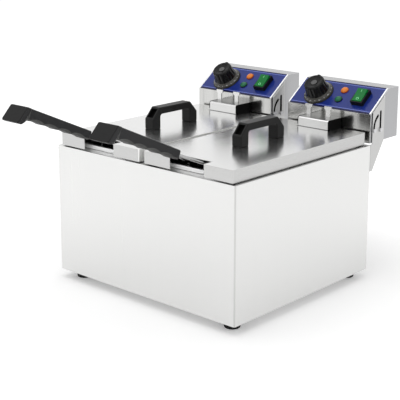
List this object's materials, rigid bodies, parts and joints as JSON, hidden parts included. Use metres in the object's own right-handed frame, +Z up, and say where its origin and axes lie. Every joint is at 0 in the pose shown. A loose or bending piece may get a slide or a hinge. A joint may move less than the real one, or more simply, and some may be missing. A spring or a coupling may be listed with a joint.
{
  "type": "deep fryer",
  "caption": "Counter-top electric deep fryer with side-by-side lift-out tanks, lids, wire baskets and tilting control heads with immersed elements",
  "frame": {"origin": "centre of the whole outline's footprint, on the plane the feet stand on", "axes": "+X to the fryer's right as its user sees it, +Y from the basket grips towards the control heads, +Z up"},
  "size_m": [0.4032, 0.6382, 0.3436],
  "materials": {
    "stainless": "satin stainless sheet",
    "lid_steel": "half-bright stainless sheet",
    "tank_steel": "satin stainless",
    "element_sheath": "dull, heat-darkened",
    "chromed_wire": "bright plated",
    "plated_steel": "zinc plated",
    "copper": "dull copper",
    "panel_film": "glossy printed film on sheet",
    "black_plastic": "fine satin",
    "dark_plastic": "fine satin",
    "cream_plastic": "plain",
    "dial_ring": "satin silver ring with dark marks",
    "orange_lens": "ribbed clear lens",
    "green_lens": "ribbed clear lens",
    "green_rocker": "lit translucent rocker",
    "red_button": "glossy",
    "foot_rubber": "matt"
  },
  "bodies": {
    "base": {"casing": "stainless", "base_plate": "tank_steel", "feet": "foot_rubber", "foot_screws": "plated_steel"},
    "tank_left_body": {"tank_left": "tank_steel"},
    "bracket_left_body": {"bracket_left": "stainless"},
    "head_left_body": {"head_shell_left": "stainless", "back_cover_left": "stainless", "panel_plate_left": "panel_film", "element_hanger_left": "stainless", "heating_element_left": "element_sheath", "element_guard_left": "tank_steel", "sensor_bulbs_left": "copper", "thermostat_left": "black_plastic", "limiter_left": "cream_plastic", "terminal_block_left": "cream_plastic", "microswitch_left": "black_plastic", "cable_gland_left": "black_plastic", "lamp_orange_left": "orange_lens", "lamp_green_left": "green_lens", "switch_frame_left": "black_plastic", "slot_studs_left": "plated_steel"},
    "basket_left_body": {"basket_left": "chromed_wire", "basket_rods_left": "chromed_wire", "basket_grip_left": "dark_plastic"},
    "lid_left_body": {"lid_left": "lid_steel", "lid_handle_left": "black_plastic", "lid_screws_left": "plated_steel"},
    "knob_left_body": {"knob_left": "black_plastic", "knob_dial_left": "dial_ring"},
    "rocker_left_body": {"rocker_left": "green_rocker"},
    "reset_left_body": {"reset_button_left": "red_button"},
    "tank_right_body": {"tank_right": "tank_steel"},
    "bracket_right_body": {"bracket_right": "stainless"},
    "head_right_body": {"head_shell_right": "stainless", "back_cover_right": "stainless", "panel_plate_right": "panel_film", "element_hanger_right": "stainless", "heating_element_right": "element_sheath", "element_guard_right": "tank_steel", "sensor_bulbs_right": "copper", "thermostat_right": "black_plastic", "limiter_right": "cream_plastic", "terminal_block_right": "cream_plastic", "microswitch_right": "black_plastic", "cable_gland_right": "black_plastic", "lamp_orange_right": "orange_lens", "lamp_green_right": "green_lens", "switch_frame_right": "black_plastic", "slot_studs_right": "plated_steel"},
    "basket_right_body": {"basket_right": "chromed_wire", "basket_rods_right": "chromed_wire", "basket_grip_right": "dark_plastic"},
    "lid_right_body": {"lid_right": "lid_steel", "lid_handle_right": "black_plastic", "lid_screws_right": "plated_steel"},
    "knob_right_body": {"knob_right": "black_plastic", "knob_dial_right": "dial_ring"},
    "rocker_right_body": {"rocker_right": "green_rocker"},
    "reset_right_body": {"reset_button_right": "red_button"}
  },
  "joints": [
    {"name": "tank_lift_left", "type": "slide", "parent": "base", "child": "tank_left_body", "axis": [0, 0, 1], "range_m": [0, 0.24]},
    {"name": "bracket_lift_left", "type": "slide", "parent": "tank_left_body", "child": "bracket_left_body", "axis": [0, 0, 1], "range_m": [0, 0.2]},
    {"name": "head_tilt_left", "type": "hinge", "parent": "bracket_left_body", "child": "head_left_body", "pos_m": [-0.1085, 0.25218, 0.2646], "axis": [-1, 0, 0], "range_deg": [0, 45]},
    {"name": "basket_lift_left", "type": "slide", "parent": "head_left_body", "child": "basket_left_body", "axis": [0, 0, 1], "range_m": [0, 0.25]},
    {"name": "lid_lift_left", "type": "slide", "parent": "basket_left_body", "child": "lid_left_body", "axis": [0, 0, 1], "range_m": [0, 0.12]},
    {"name": "knob_turn_left", "type": "hinge", "parent": "head_left_body", "child": "knob_left_body", "pos_m": [-0.147, 0.23616, 0.31626], "axis": [0, 0.5855, -0.8107], "range_deg": [0, 300]},
    {"name": "rocker_tip_left", "type": "hinge", "parent": "head_left_body", "child": "rocker_left_body", "pos_m": [-0.0565, 0.23866, 0.31449], "axis": [-1, 0, 0], "range_deg": [0, 16]},
    {"name": "reset_press_left", "type": "slide", "parent": "head_left_body", "child": "reset_left_body", "axis": [0, -1, 0], "range_m": [0, 0.002], "stiffness_N_per_m": 400},
    {"name": "tank_lift_right", "type": "slide", "parent": "base", "child": "tank_right_body", "axis": [0, 0, 1], "range_m": [0, 0.24]},
    {"name": "bracket_lift_right", "type": "slide", "parent": "tank_right_body", "child": "bracket_right_body", "axis": [0, 0, 1], "range_m": [0, 0.2]},
    {"name": "head_tilt_right", "type": "hinge", "parent": "bracket_right_body", "child": "head_right_body", "pos_m": [0.1085, 0.25218, 0.2646], "axis": [-1, 0, 0], "range_deg": [0, 45]},
    {"name": "basket_lift_right", "type": "slide", "parent": "head_right_body", "child": "basket_right_body", "axis": [0, 0, 1], "range_m": [0, 0.25]},
    {"name": "lid_lift_right", "type": "slide", "parent": "basket_right_body", "child": "lid_right_body", "axis": [0, 0, 1], "range_m": [0, 0.12]},
    {"name": "knob_turn_right", "type": "hinge", "parent": "head_right_body", "child": "knob_right_body", "pos_m": [0.07, 0.23616, 0.31626], "axis": [0, 0.5855, -0.8107], "range_deg": [0, 300]},
    {"name": "rocker_tip_right", "type": "hinge", "parent": "head_right_body", "child": "rocker_right_body", "pos_m": [0.1605, 0.23866, 0.31449], "axis": [-1, 0, 0], "range_deg": [0, 16]},
    {"name": "reset_press_right", "type": "slide", "parent": "head_right_body", "child": "reset_right_body", "axis": [0, -1, 0], "range_m": [0, 0.002], "stiffness_N_per_m": 400}
  ]
}
